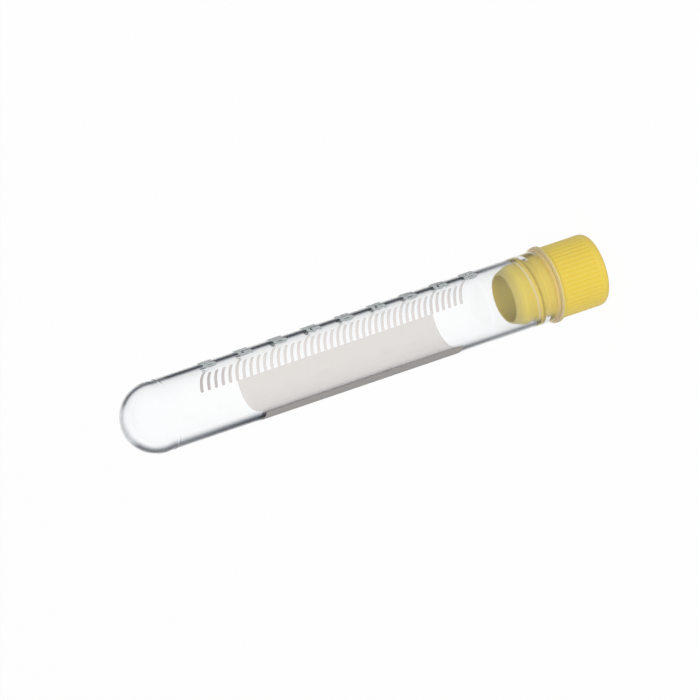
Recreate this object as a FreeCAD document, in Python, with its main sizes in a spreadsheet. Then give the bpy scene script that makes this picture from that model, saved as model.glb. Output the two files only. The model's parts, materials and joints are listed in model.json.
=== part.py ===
import FreeCAD, Part
import os
import Sketcher

# A 5 mL cryovial with an internal thread: a clear tube with a round bottom, a ribbed screw cap
# with a plug, a soft seal ring between them, and the print on the tube.
#
# Millimetres. The vial stands on its cap. The origin is the centre of the cap's flat end, +Z runs
# along the axis towards the tube's round bottom, and +Y is the middle of the printed side.

SIZES = [
    ("head_radius", "6.37", "cap head, over its ribs"),
    ("head_length", "8.8", "cap head, from its flat end to the collar"),
    ("head_edge", "1.0", "rounding of the cap's flat end"),
    ("rib_count", "48", "ribs round the cap head"),
    ("flute_radius", "0.27", "hollow between two ribs"),
    ("flute_depth", "0.14", "hollow between two ribs, below the ribs"),
    ("flute_start", "1.4", "hollows begin this far from the flat end"),
    ("flute_gap", "0.15", "plain band between the hollows and the collar"),
    ("collar_length", "0.45", "cap head to the face that carries the seal"),
    ("collar_land", "0.2", "straight edge of the collar"),
    ("seal_thickness", "0.25", "seal ring, along the axis"),
    ("seal_edge", "0.08", "bevel on the seal's outer edges"),
    ("seal_clearance", "0.05", "seal round the plug's shoulder"),
    ("plug_length", "8.25", "plug, from the seal's face to its end"),
    ("plug_clearance", "0.05", "plug inside the tube's mouth"),
    ("shoulder_length", "0.65", "straight shoulder at the root of the plug"),
    ("shoulder_cone", "1.9", "cone from the shoulder to the waist"),
    ("waist_depth", "0.43", "waist of the plug, below its shoulder"),
    ("lip_length", "2.15", "lip at the plug's end, along the axis"),
    ("lip_cone", "0.2", "cone from the waist to the lip"),
    ("lip_taper", "0.88", "narrowing of the lip at its end"),
    ("taper_length", "1.9", "tapered part of the lip, along the axis"),
    ("lip_wall", "1.23", "wall of the lip where it is widest, round the hollow in the plug's end"),
    ("recess_depth", "4.05", "hollow in the plug's end"),
    ("thread_pitch", "2.65", "thread, along the axis for one turn"),
    ("thread_turns", "0.9", "turns of the plug's thread"),
    ("thread_start", "2.3", "middle of the thread's start, from the shoulder"),
    ("thread_rise", "0.32", "crest of the plug's thread, above its shoulder"),
    ("thread_crest", "0.5", "plug's thread, width at its crest"),
    ("thread_root", "1.3", "plug's thread, width at the waist"),
    ("thread_foot", "0.1", "plug's thread, rooted in the waist"),
    ("thread_clearance", "0.1", "tube's thread groove round the plug's thread"),
    ("groove_runout", "0.1", "turns of the tube's groove past the plug's thread"),
    ("tube_radius", "6.25", "tube, outside"),
    ("barrel_length", "75.3", "tube, from its rim to the centre of its round bottom"),
    ("bottom_wall", "1.59", "tube's wall at the round bottom"),
    ("barrel_wall", "0.982", "tube's wall at the wide end of its tapered bore"),
    ("mouth_wall", "0.82", "tube's wall at the mouth, where the plug fits"),
    ("mouth_depth", "12.8", "bore of the mouth, from the rim"),
    ("mouth_bevel", "0.25", "lead-in at the rim"),
    ("step_length", "0.5", "cone from the mouth's bore to the tapered bore"),
    ("flange_width", "0.55", "rim of the tube, beyond the barrel"),
    ("flange_thickness", "0.3", "rim of the tube, along the axis"),
    ("flange_edge", "0.1", "bevel on the rim's outer edges"),
    ("ridge_height", "0.03", "parting ridge near the round bottom"),
    ("ridge_width", "0.5", "parting ridge, along the axis"),
    ("ridge_offset", "1.3", "parting ridge, from the centre of the round bottom"),
    ("ink_thickness", "0.03", "print on the tube"),
    ("field_edge_angle", "74.5", "edge of the writing field that meets the scale, about +Z from +X"),
    ("field_sweep", "139.5", "writing field, degrees round the tube"),
    ("field_margin", "0.1", "writing field, past the lines that it ends at"),
    ("full_line_depth", "13.5", "highest line of the scale, from the rim"),
    ("line_width", "0.55", "line of the scale, along the axis"),
    ("long_line_sweep", "56.5", "line at each half mL, degrees round the tube"),
    ("short_line_sweep", "49.5", "line between, degrees round the tube"),
]

# The scale's lines, in tenths of a millilitre, and how many tenths lie between the long ones.
FIRST_LINE = 10
LAST_LINE = 50
LONG_LINE_EVERY = 5

# The lines that the writing field lies between.
FIELD_LOW_LINE = 15
FIELD_HIGH_LINE = 45

# The tube's groove begins this many whole turns before the plug's thread, clear of the rim.
GROOVE_LEAD_TURNS = 2

# Heights along the axis, from the cap's flat end up.
SEAT = "(Dim.head_length + Dim.collar_length)"
RIM = f"({SEAT} + Dim.seal_thickness)"
BOTTOM_CENTRE = f"({RIM} + Dim.barrel_length)"
SHOULDER = f"({SEAT} + Dim.shoulder_length)"
PLUG_END = f"({SEAT} + Dim.plug_length)"
THREAD_START = f"({SHOULDER} + Dim.thread_start)"

# Radii of the tube, and of what fits in its mouth and against its rim.
FLANGE_RADIUS = "(Dim.tube_radius + Dim.flange_width)"
MOUTH_RADIUS = "(Dim.tube_radius - Dim.mouth_wall)"
UPPER_BORE = "(Dim.tube_radius - Dim.barrel_wall)"
LOWER_BORE = "(Dim.tube_radius - Dim.bottom_wall)"
PLUG_RADIUS = f"({MOUTH_RADIUS} - Dim.plug_clearance)"
WAIST_RADIUS = f"({PLUG_RADIUS} - Dim.waist_depth)"
SEAL_BORE = f"({PLUG_RADIUS} + Dim.seal_clearance)"

doc = FreeCAD.newDocument("cryovial")


def fill_sheet():
    """The driving dimensions, one to a row, each with an alias."""
    sheet = doc.addObject("Spreadsheet::Sheet", "Dim")
    for row, (alias, value, meaning) in enumerate(SIZES, start=1):
        sheet.set(f"A{row}", alias)
        sheet.set(f"B{row}", value)
        sheet.set(f"C{row}", meaning)
        sheet.setAlias(f"B{row}", alias)
    doc.recompute()


def value_of(expression):
    """The number that an expression on the sheet has now."""
    return float(doc.Dim.evalExpression(expression.replace("Dim.", "")))


def origin_plane(body, role):
    """One of the body's own origin planes."""
    return next(item for item in body.Origin.OriginFeatures if item.Role == role)


def new_sketch(body, name, role, height="0"):
    """A sketch on an origin plane, lifted along the plane's normal."""
    sketch = body.newObject("Sketcher::SketchObject", name)
    sketch.AttachmentSupport = [(origin_plane(body, role), "")]
    sketch.MapMode = "FlatFace"
    if height != "0":
        sketch.setExpression(".AttachmentOffset.Base.z", height)
    return sketch


def arc_centre(start, end, centre_x):
    """The point on the line x = centre_x that is as far from start as from end."""
    start_gap = (start.x - centre_x) ** 2 + start.y**2
    end_gap = (end.x - centre_x) ** 2 + end.y**2
    return FreeCAD.Vector(centre_x, (start_gap - end_gap) / (2 * (start.y - end.y)), 0)


def pin_point(sketch, geometry, position, axis, expression, name):
    """Ties a point of a sketch to an expression, along "X" or "Y"."""
    if expression == "0":
        other_axis = -2 if axis == "X" else -1
        sketch.addConstraint(Sketcher.Constraint("PointOnObject", geometry, position, other_axis))
        return
    rule = Sketcher.Constraint("Distance" + axis, -1, 1, geometry, position, value_of(expression))
    index = sketch.addConstraint(rule)
    sketch.renameConstraint(index, name)
    sketch.setExpression("Constraints." + name, expression)


def draw_sides(sketch, outline):
    """Draws the sides of a closed outline. Returns each side's number and its first and last end.

    A side is straight, or an arc where its corner has a third value, the arc centre's distance
    from the vertical axis.
    """
    corners = [FreeCAD.Vector(value_of(corner[0]), value_of(corner[1]), 0) for corner in outline]
    sides = []
    for index, corner in enumerate(outline):
        start = corners[index]
        end = corners[(index + 1) % len(corners)]
        if len(corner) == 2:
            sides.append((sketch.addGeometry(Part.LineSegment(start, end)), 1, 2))
            continue
        centre = arc_centre(start, end, value_of(corner[2]))
        middle = ((start + end) / 2 - centre).normalize() * (start - centre).Length + centre
        anticlockwise = (start - centre).cross(end - centre).z > 0
        arc = Part.Arc(start, middle, end) if anticlockwise else Part.Arc(end, middle, start)
        side = sketch.addGeometry(arc)
        sides.append((side, 1, 2) if anticlockwise else (side, 2, 1))
        pin_point(sketch, side, 3, "X", corner[2], f"centre_{index}")
    return sides


def closed_outline(sketch, outline):
    """A closed outline of (across, up) corners, joined up, with every corner tied to the sheet."""
    sides = draw_sides(sketch, outline)
    for index, corner in enumerate(outline):
        side, first, _ = sides[index]
        side_before, _, last = sides[index - 1]
        sketch.addConstraint(Sketcher.Constraint("Coincident", side_before, last, side, first))
        pin_point(sketch, side, first, "X", corner[0], f"across_{index}")
        pin_point(sketch, side, first, "Y", corner[1], f"up_{index}")


def turned(label, outline):
    """A body made by turning an outline once round the Z axis."""
    body = doc.addObject("PartDesign::Body", label)
    body.Label = label
    sketch = new_sketch(body, label + "_section", "XZ_Plane")
    closed_outline(sketch, outline)
    turn = body.newObject("PartDesign::Revolution", label + "_turned")
    turn.Profile = sketch
    turn.ReferenceAxis = (sketch, ["V_Axis"])
    turn.Angle = 360
    doc.recompute()
    return body


def circle_in(sketch, centre_x, radius, name):
    """A circle on the sketch's X axis, tied to the sheet."""
    centre = FreeCAD.Vector(value_of(centre_x), 0, 0)
    circle = Part.Circle(centre, FreeCAD.Vector(0, 0, 1), value_of(radius))
    geometry = sketch.addGeometry(circle)
    sketch.addConstraint(Sketcher.Constraint("PointOnObject", geometry, 3, -1))
    pin_point(sketch, geometry, 3, "X", centre_x, name + "_centre")
    index = sketch.addConstraint(Sketcher.Constraint("Radius", geometry, value_of(radius)))
    sketch.renameConstraint(index, name + "_radius")
    sketch.setExpression(f"Constraints.{name}_radius", radius)


def thread_section(body, name, foot, crest, foot_width, crest_width, middle):
    """A trapezium in the YZ plane that a thread is swept from, tied to the sheet."""
    sketch = new_sketch(body, name, "YZ_Plane")
    closed_outline(sketch, [
        (foot, f"{middle} - {foot_width} / 2"),
        (crest, f"{middle} - {crest_width} / 2"),
        (crest, f"{middle} + {crest_width} / 2"),
        (foot, f"{middle} + {foot_width} / 2"),
    ])
    return sketch


def wind_thread(thread, sketch, turns):
    """Sets a helix feature to follow the right-handed thread up the Z axis."""
    thread.Profile = sketch
    thread.ReferenceAxis = (sketch, ["V_Axis"])
    thread.Mode = "pitch-turns-angle"
    thread.LeftHanded = False
    thread.setExpression("Pitch", "Dim.thread_pitch")
    thread.setExpression("Turns", turns)
    doc.recompute()


def make_cap():
    """The cap in one piece: ribbed head, collar, and a threaded plug with a hollow end."""
    lip_start = f"{PLUG_END} - Dim.lip_length"
    recess_radius = f"{PLUG_RADIUS} - Dim.lip_wall"
    recess_floor = f"{PLUG_END} - Dim.recess_depth"
    body = turned("cap", [
        ("0", "0"),
        ("Dim.head_radius - Dim.head_edge", "0", "Dim.head_radius - Dim.head_edge"),
        ("Dim.head_radius", "Dim.head_edge"),
        ("Dim.head_radius", "Dim.head_length"),
        (FLANGE_RADIUS, f"{SEAT} - Dim.collar_land"),
        (FLANGE_RADIUS, SEAT),
        (PLUG_RADIUS, SEAT),
        (PLUG_RADIUS, SHOULDER),
        (WAIST_RADIUS, f"{SHOULDER} + Dim.shoulder_cone"),
        (WAIST_RADIUS, lip_start),
        (PLUG_RADIUS, f"{lip_start} + Dim.lip_cone"),
        (PLUG_RADIUS, f"{PLUG_END} - Dim.taper_length"),
        (f"{PLUG_RADIUS} - Dim.lip_taper", PLUG_END),
        (recess_radius, PLUG_END),
        (recess_radius, recess_floor),
        ("0", recess_floor),
    ])
    cut_flutes(body)
    section = thread_section(
        body,
        "plug_thread_section",
        f"{WAIST_RADIUS} - Dim.thread_foot",
        f"{PLUG_RADIUS} + Dim.thread_rise",
        "Dim.thread_root",
        "Dim.thread_crest",
        THREAD_START,
    )
    thread = body.newObject("PartDesign::AdditiveHelix", "plug_thread")
    wind_thread(thread, section, "Dim.thread_turns")
    return body


def cut_flutes(body):
    """The hollows between the ribs of the cap's head."""
    sketch = new_sketch(body, "flute_circle", "XY_Plane", "Dim.flute_start")
    flute_centre = "Dim.head_radius + Dim.flute_radius - Dim.flute_depth"
    circle_in(sketch, flute_centre, "Dim.flute_radius", "flute")
    plain_volume = body.Shape.Volume
    flute = body.newObject("PartDesign::Pocket", "flute")
    flute.Profile = sketch
    flute.Reversed = True
    flute.setExpression("Length", "Dim.head_length - Dim.flute_start - Dim.flute_gap")
    doc.recompute()
    ribs = body.newObject("PartDesign::PolarPattern", "ribs")
    ribs.Originals = [flute]
    ribs.Axis = (sketch, ["N_Axis"])
    ribs.Angle = 360
    ribs.setExpression("Occurrences", "Dim.rib_count")
    body.Tip = ribs
    doc.recompute()
    if body.Shape.Volume >= plain_volume:
        raise RuntimeError("the hollows between the ribs cut nothing")


def make_seal_ring():
    """The soft ring between the cap's collar and the tube's rim."""
    return turned("seal_ring", [
        (SEAL_BORE, SEAT),
        (f"{FLANGE_RADIUS} - Dim.seal_edge", SEAT),
        (FLANGE_RADIUS, f"{SEAT} + Dim.seal_edge"),
        (FLANGE_RADIUS, f"{RIM} - Dim.seal_edge"),
        (f"{FLANGE_RADIUS} - Dim.seal_edge", RIM),
        (SEAL_BORE, RIM),
    ])


def make_tube():
    """The tube in one piece: rim, threaded mouth, tapered bore and round bottom."""
    flange_top = f"{RIM} + Dim.flange_thickness"
    ridge = f"{BOTTOM_CENTRE} - Dim.ridge_offset"
    mouth_end = f"{RIM} + Dim.mouth_depth"
    tip = f"{BOTTOM_CENTRE} + Dim.tube_radius"
    body = turned("tube", [
        (f"{MOUTH_RADIUS} + Dim.mouth_bevel", RIM),
        (f"{FLANGE_RADIUS} - Dim.flange_edge", RIM),
        (FLANGE_RADIUS, f"{RIM} + Dim.flange_edge"),
        (FLANGE_RADIUS, f"{flange_top} - Dim.flange_edge"),
        (f"{FLANGE_RADIUS} - Dim.flange_edge", flange_top),
        ("Dim.tube_radius", flange_top),
        ("Dim.tube_radius", f"{ridge} - Dim.ridge_width / 2"),
        ("Dim.tube_radius + Dim.ridge_height", ridge),
        ("Dim.tube_radius", f"{ridge} + Dim.ridge_width / 2"),
        ("Dim.tube_radius", BOTTOM_CENTRE, "0"),
        ("0", tip),
        ("0", f"{BOTTOM_CENTRE} + {LOWER_BORE}", "0"),
        (LOWER_BORE, BOTTOM_CENTRE),
        (UPPER_BORE, f"{mouth_end} + Dim.step_length"),
        (MOUTH_RADIUS, mouth_end),
        (MOUTH_RADIUS, f"{RIM} + Dim.mouth_bevel"),
    ])
    cut_groove(body)
    return body


def cut_groove(body):
    """The groove inside the mouth that the plug's thread runs in, open at the rim."""
    section = thread_section(
        body,
        "mouth_thread_section",
        f"{WAIST_RADIUS} - Dim.thread_foot",
        f"{PLUG_RADIUS} + Dim.thread_rise + Dim.thread_clearance",
        "(Dim.thread_root + 2 * Dim.thread_clearance)",
        "(Dim.thread_crest + 2 * Dim.thread_clearance)",
        f"({THREAD_START} - {GROOVE_LEAD_TURNS} * Dim.thread_pitch)",
    )
    plain_volume = body.Shape.Volume
    groove = body.newObject("PartDesign::SubtractiveHelix", "mouth_thread")
    wind_thread(groove, section, f"{GROOVE_LEAD_TURNS} + Dim.thread_turns + Dim.groove_runout")
    if body.Shape.Volume >= plain_volume:
        raise RuntimeError("the thread groove cuts nothing")


def line_height(tenths):
    """Where the liquid stands, tip down, at this line of the scale.

    The bore is a round bottom and a cone, so the cube of its radius at the liquid's surface grows
    evenly with the volume, from its value for an empty bottom to the one at the highest line.
    """
    taper_length = "(Dim.barrel_length - Dim.mouth_depth - Dim.step_length)"
    slope = f"(({UPPER_BORE} - {LOWER_BORE}) / {taper_length})"
    full_radius = f"({LOWER_BORE} + {slope} * (Dim.barrel_length - Dim.full_line_depth))"
    empty_cube = f"({LOWER_BORE} ^ 3 * (1 - 2 * {slope}))"
    share = tenths / LAST_LINE
    radius = f"cbrt({empty_cube} + {share} * ({full_radius} ^ 3 - {empty_cube}))"
    return f"({BOTTOM_CENTRE} - ({radius} - {LOWER_BORE}) / {slope})"


def ink_sector(name, bottom, height, start_angle, sweep):
    """A slice of a disc just larger than the tube, before the tube's own round is taken out."""
    sector = doc.addObject("Part::Cylinder", name)
    sector.setExpression("Radius", "Dim.tube_radius + Dim.ink_thickness")
    sector.setExpression("Height", height)
    sector.setExpression("Angle", sweep)
    sector.setExpression(".Placement.Base.z", bottom)
    sector.setExpression(".Placement.Rotation.Angle", start_angle)
    return sector


def ink_on_tube(label, slices):
    """Print that lies on the tube's barrel."""
    core = doc.addObject("Part::Cylinder", label + "_core")
    core.setExpression("Radius", "Dim.tube_radius")
    core.setExpression("Height", BOTTOM_CENTRE)
    ink = doc.addObject("Part::Cut", label)
    ink.Label = label
    ink.Base = slices
    ink.Tool = core
    return ink


def make_writing_field():
    """The plain field for a written label, between two lines of the scale."""
    low = line_height(FIELD_LOW_LINE)
    high = line_height(FIELD_HIGH_LINE)
    field = ink_sector(
        "field_sector",
        f"{high} - Dim.field_margin",
        f"{low} - {high} + 2 * Dim.field_margin",
        "Dim.field_edge_angle",
        "Dim.field_sweep",
    )
    return ink_on_tube("writing_field", field)


def make_volume_scale():
    """The scale's lines, where the bore holds each tenth of a millilitre."""
    lines = []
    for tenths in range(FIRST_LINE, LAST_LINE + 1):
        is_long = tenths % LONG_LINE_EVERY == 0
        sweep = "Dim.long_line_sweep" if is_long else "Dim.short_line_sweep"
        middle = line_height(tenths)
        lines.append(ink_sector(
            f"line_{tenths}",
            f"{middle} - Dim.line_width / 2",
            "Dim.line_width",
            f"Dim.field_edge_angle - {sweep}",
            sweep,
        ))
    group = doc.addObject("Part::Compound", "scale_sectors")
    group.Links = lines
    return ink_on_tube("volume_scale", group)


def check_document(pieces):
    """Stops if a feature failed or a piece has no sound solid."""
    for item in doc.Objects:
        if "Invalid" in item.State or "Error" in item.State:
            raise RuntimeError(f"{item.Label} failed: {item.State}")
    for piece in pieces:
        if piece.Shape.isNull() or not piece.Shape.isValid() or not piece.Shape.Solids:
            raise RuntimeError(f"{piece.Label} has no valid solid")


def export(pieces):
    """One STEP file for each piece, named after it."""
    os.makedirs("parts", exist_ok=True)
    for piece in pieces:
        piece.Shape.exportStep(f"parts/{piece.Label}.step")
        box = piece.Shape.BoundBox
        print(f"{piece.Label}: {len(piece.Shape.Solids)} solids, {piece.Shape.Volume:.2f} mm3, "
              f"z {box.ZMin:.2f} to {box.ZMax:.2f}, width {box.XLength:.2f}")


fill_sheet()
all_pieces = [
    make_cap(),
    make_seal_ring(),
    make_tube(),
    make_writing_field(),
    make_volume_scale(),
]
doc.recompute()
check_document(all_pieces)
export(all_pieces)
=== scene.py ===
"""A 5 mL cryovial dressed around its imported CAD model: clear tube, yellow cap, seal and print."""

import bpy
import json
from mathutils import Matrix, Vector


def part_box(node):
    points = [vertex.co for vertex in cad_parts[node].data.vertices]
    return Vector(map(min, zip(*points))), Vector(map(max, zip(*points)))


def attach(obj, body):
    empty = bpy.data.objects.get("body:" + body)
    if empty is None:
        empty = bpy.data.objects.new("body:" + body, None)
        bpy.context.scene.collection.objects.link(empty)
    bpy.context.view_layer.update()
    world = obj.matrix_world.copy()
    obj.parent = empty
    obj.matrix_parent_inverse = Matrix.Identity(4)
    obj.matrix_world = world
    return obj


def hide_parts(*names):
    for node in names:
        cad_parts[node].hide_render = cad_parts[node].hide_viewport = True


bl_info = {
    "name": "Cryovial",
    "version": (1, 0, 0),
    "blender": (4, 5, 0),
    "location": "View3D > Sidebar > Cryovial",
    "description": "Builds the looks of a 5 mL cryovial around its CAD frame",
    "category": "Object",
}

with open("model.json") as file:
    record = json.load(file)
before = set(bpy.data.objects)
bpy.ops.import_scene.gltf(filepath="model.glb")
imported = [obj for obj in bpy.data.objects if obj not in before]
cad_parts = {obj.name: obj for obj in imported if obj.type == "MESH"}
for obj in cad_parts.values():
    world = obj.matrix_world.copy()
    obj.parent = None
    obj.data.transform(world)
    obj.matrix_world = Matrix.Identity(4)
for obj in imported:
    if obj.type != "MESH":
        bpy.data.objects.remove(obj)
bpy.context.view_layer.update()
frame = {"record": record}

import json
import math

import bmesh
import bpy
import numpy as np
from bpy.props import FloatProperty, FloatVectorProperty, IntProperty, PointerProperty
from mathutils import Matrix, Vector

MM = 0.001
FULL_TURN = 2 * math.pi

# What the frame says: where the pieces lie, the tube's radius and the thread's pitch.
PLUG_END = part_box("cap")[1].z
SEAL_LOW, SEAL_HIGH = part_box("seal_ring")
SEAT = SEAL_LOW.z
RIM = SEAL_HIGH.z
FLANGE_RADIUS = SEAL_HIGH.x
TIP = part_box("tube")[1].z
FIELD_LOW, FIELD_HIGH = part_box("writing_field")
SHANK = next(mount for mount in frame["record"]["mounts"] if mount["name"] == "rack_shank")
TUBE_RADIUS = SHANK["dims"]["r_mm"] * MM
THREAD_PITCH = FULL_TURN * frame["record"]["behaviour"]["couplings"][0]["ratio"]

# Places along the tube: past the thread, past the finely cut outside, and near the round bottom.
THREAD_PART = RIM + 8 * MM
FINE_OUTSIDE = RIM + 7 * MM
BOTTOM_CENTRE = TIP - TUBE_RADIUS
TIP_PART = TIP - 9.4 * MM

# Where the plug's thread catches the light, and where it presses on the tube, from its own middle.
GLINT_MIDDLE, GLINT_HALF_WIDTH = 0.42 * MM, 0.15 * MM
CONTACT_START = (-1.9 * MM, -1.4 * MM)
CONTACT_END = (0.4 * MM, 0.1 * MM)

# A thread rises from nothing over these turns, and its end lies lower by this share of its radius.
THREAD_END = (-0.004, 0.012)
END_DROP = 0.2

# The ink lies just off the tube. The scale's lines are counted in tenths of a millilitre, and those
# from the first to the second of FIELD_LINES end at the field. Numbers lie a little off their line.
PRINT_RADIUS = TUBE_RADIUS + 0.004 * MM
FIRST_LINE, LAST_LINE, LONG_LINE_STEP = 10, 50, 5
FIELD_LINES = (15, 45)
NUMBER_SHIFT = 0.3 * MM
DIGIT_SHARE = 0.7

# A share of the lines' cover at places along the tube, from the field's end at the cap (0) to the tip
# (1).
LINE_COVER_ALONG = (
    (0.0, 0.42),
    (0.08, 0.31),
    (0.3, 0.27),
    (0.5, 0.29),
    (0.58, 0.36),
    (0.62, 0.48),
    (0.66, 0.68),
    (0.7, 0.9),
)

# How finely the pieces are cut, and lengths that count as none.
TUBE_COLUMNS = 288
SEAL_COLUMNS = 192
RIB_COLUMNS = 8
CORNER_STEPS = 5
END_STEPS = 6
PRINT_STEP = math.radians(1.5)
SHARP_ANGLE = math.radians(40)
ON_AXIS = 1e-9
HAIR = 1e-6

# The tube's materials by number. Its outside has 0.
BORE, RIM_FACE, GROOVE = 1, 2, 3

PLASTIC_IOR = 1.49
CLEAR = (0.999, 0.9995, 1.0)
WHITE = (1.0, 1.0, 1.0)

CAMERA_TARGET = Vector((0.17 * MM, 0, 47.3 * MM))
SENSOR_WIDTH = 36.0
LAMP_TARGET = Vector((0, 0, 0.04))
LAMP_OFFSET = Vector((-0.11, -0.87, 0.55))
LAMP_SIZE = 0.5
FLOOR_REACH = 20.0


# -------- sizes and colours


def length(name, description, millimetres):
    """A size that a user can change."""
    return FloatProperty(
        name=name, description=description, default=millimetres * MM, unit="LENGTH", precision=5
    )


def turn_angle(name, description, degrees):
    """An angle that a user can change."""
    return FloatProperty(
        name=name, description=description, default=math.radians(degrees), unit="ROTATION"
    )


def share(name, description, default):
    """A share from 0 to 1 that a user can change."""
    return FloatProperty(
        name=name, description=description, default=default, min=0.0, max=1.0, subtype="FACTOR"
    )


def colour(name, description, default):
    """A colour that a user can change."""
    return FloatVectorProperty(
        name=name, description=description, default=default, min=0.0, max=1.0, subtype="COLOR"
    )


class CapSizes(bpy.types.PropertyGroup):
    """Sizes of the screw cap."""

    head_radius: length("Head radius", "Cap head, over its ribs", 6.37)
    head_length: length("Head length", "From the flat end to the collar", 8.8)
    head_edge: length("Head edge", "Rounding of the flat end", 1.0)
    rib_count: IntProperty(name="Ribs", description="Ribs round the head", default=48, min=8)
    flute_depth: length("Flute depth", "Hollow between two ribs", 0.07)
    flute_radius: length("Flute radius", "Round of the hollow between two ribs", 0.27)
    flute_start: length("Flute start", "The hollows begin this far from the flat end", 1.4)
    flute_ramp: length("Flute ramp", "The hollows fade out over this length", 0.5)
    flute_gap: length("Flute gap", "Plain band between the hollows and the collar", 0.15)
    collar_land: length("Collar land", "Straight edge of the collar", 0.2)
    shoulder_length: length("Shoulder", "Straight shoulder at the root of the plug", 0.65)
    shoulder_cone: length("Shoulder cone", "From the shoulder to the waist", 1.9)
    waist_depth: length("Waist depth", "Waist of the plug, below its shoulder", 0.43)
    lip_length: length("Lip length", "Lip at the plug's end, with its cone", 4.3)
    lip_cone: length("Lip cone", "From the waist to the lip", 2.4)
    lip_taper: length("Lip taper", "Narrowing of the lip at its end", 0.88)
    lip_wall: length("Lip wall", "Wall of the lip where it is widest, round the plug's hollow", 1.23)
    recess_depth: length("Recess depth", "Hollow in the plug's end", 4.05)


class ThreadSizes(bpy.types.PropertyGroup):
    """Sizes of the screw thread."""

    start: length("Start", "Middle of the plug's thread where it starts, from the seat", 2.95)
    turns: FloatProperty(name="Turns", description="Turns of the plug's thread", default=0.9)
    runout: FloatProperty(name="Run-out", description="Turns of the groove past it", default=0.1)
    rise: length("Rise", "Crest of the plug's thread, above its shoulder", 0.32)
    foot: length("Foot", "The thread's foot, below the waist", 0.1)
    crest_width: length("Crest width", "Plug's thread, along the axis", 0.5)
    root_width: length("Root width", "Plug's thread, along the axis", 1.3)
    clearance: length("Clearance", "The tube's groove round the plug's thread", 0.1)
    groove_side: length("Groove side", "Sloping side of the tube's groove, along the axis", 0.4)


class TubeSizes(bpy.types.PropertyGroup):
    """Sizes of the clear tube."""

    bottom_wall: length("Bottom wall", "Wall at the round bottom", 1.59)
    barrel_wall: length("Barrel wall", "Wall at the wide end of the tapered bore", 0.982)
    mouth_wall: length("Mouth wall", "Wall where the plug fits", 0.82)
    mouth_depth: length("Mouth depth", "Bore of the mouth, from the rim", 12.8)
    mouth_bevel: length("Mouth bevel", "Lead-in at the rim", 0.25)
    step_length: length("Step", "Cone from the mouth's bore to the tapered bore", 0.5)
    flange_thickness: length("Flange", "Thickness of the rim's flange", 0.3)
    ridge_height: length("Ridge height", "Parting ridge near the round bottom", 0.03)
    ridge_width: length("Ridge width", "Parting ridge, along the axis", 0.5)
    ridge_offset: length("Ridge offset", "From the centre of the round bottom", 1.3)
    plug_gap: length("Plug gap", "Clearance round the plug", 0.05)


class PrintSizes(bpy.types.PropertyGroup):
    """Sizes of the print on the tube."""

    film: length("Film", "Thickness of the ink", 0.025)
    field_edge: turn_angle("Field edge", "Where the field meets the scale, about the axis", 74.5)
    field_sweep: turn_angle("Field sweep", "Writing field, round the tube", 139.5)
    corner: length("Corner", "Rounding of the field's corners", 0.35)
    line_width: length("Line width", "Line of the scale, along the axis", 0.55)
    long_sweep: turn_angle("Long line", "Line at each half millilitre, round the tube", 66.0)
    short_sweep: turn_angle("Short line", "Line between, round the tube", 49.5)
    number_height: length("Number height", "Digits of the scale", 2.2)
    number_film: length("Number film", "Thickness of the numbers' ink", 0.11)
    number_bold: length("Number boldness", "How much the digits are thickened", 0.16)
    number_gap: turn_angle("Number gap", "From a long line to its number", 10.0)
    full_depth: length("Full line", "Highest line of the scale, from the rim", 13.5)


class VialColours(bpy.types.PropertyGroup):
    """Colours and finishes."""

    cap: colour("Cap", "Moulded yellow plastic", (0.83, 0.635, 0.085))
    # Painted shade: the darker, fuller yellow given to the hollows between the ribs.
    cap_hollow_shade: colour("Cap hollows", "The same plastic between the ribs", (0.81, 0.60, 0.045))
    plug: colour("Plug", "The same plastic where little light reaches it", (0.50, 0.42, 0.15))
    glint: colour("Thread glint", "The lit edge of the plug's thread", (0.80, 0.72, 0.54))
    seal: colour("Seal", "Milky seal", (1.0, 0.80, 0.38))
    # edge is painted shade: the colour of the dark line painted along the tube's outline.
    edge: colour("Tube edge", "What the tube's wall lets through at its outline", (0.045, 0.052, 0.065))
    rim: colour("Rim", "Milk in the tube's rim", (0.97, 0.75, 0.28))
    # Painted sheen: the rim's milk is given this paler colour where it is seen edge on.
    rim_edge_sheen: colour("Rim edge", "The rim where it is seen edge on", (1.0, 0.96, 0.86))
    rim_milk: share("Rim milk", "How milky the rim is, seen square on", 0.44)
    groove_milk: share("Groove milk", "How milky the groove is, seen square on", 0.03)
    field: colour("Field ink", "Writing field", (0.40, 0.38, 0.365))
    line: colour("Line ink", "Lines of the scale", (0.30, 0.26, 0.26))
    number: colour("Number ink", "Numbers of the scale", (0.60, 0.65, 0.65))
    field_cover: share("Field cover", "How much the field's ink hides, seen square on", 0.19)
    line_cover: share("Line cover", "How much the lines' ink hides, seen square on", 0.46)
    number_cover: share("Number cover", "How much the numbers' ink hides, seen square on", 0.72)


class StageSettings(bpy.types.PropertyGroup):
    """Floor, light and camera."""

    tilt: turn_angle("Tilt", "How far the camera looks down", 22.0)
    rise: turn_angle("Rise", "How far the vial's axis rises across the picture", 18.74)
    distance: FloatProperty(name="Distance", description="Camera to vial", default=3.0, unit="LENGTH")
    view_width: length("View width", "What the picture is across, at the vial", 119.15)
    world_level: FloatProperty(name="Sky", description="Light from all round", default=0.44, min=0.0)
    key_power: FloatProperty(name="Key", description="Main lamp", default=6.15, unit="POWER")


# -------- shading


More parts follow.
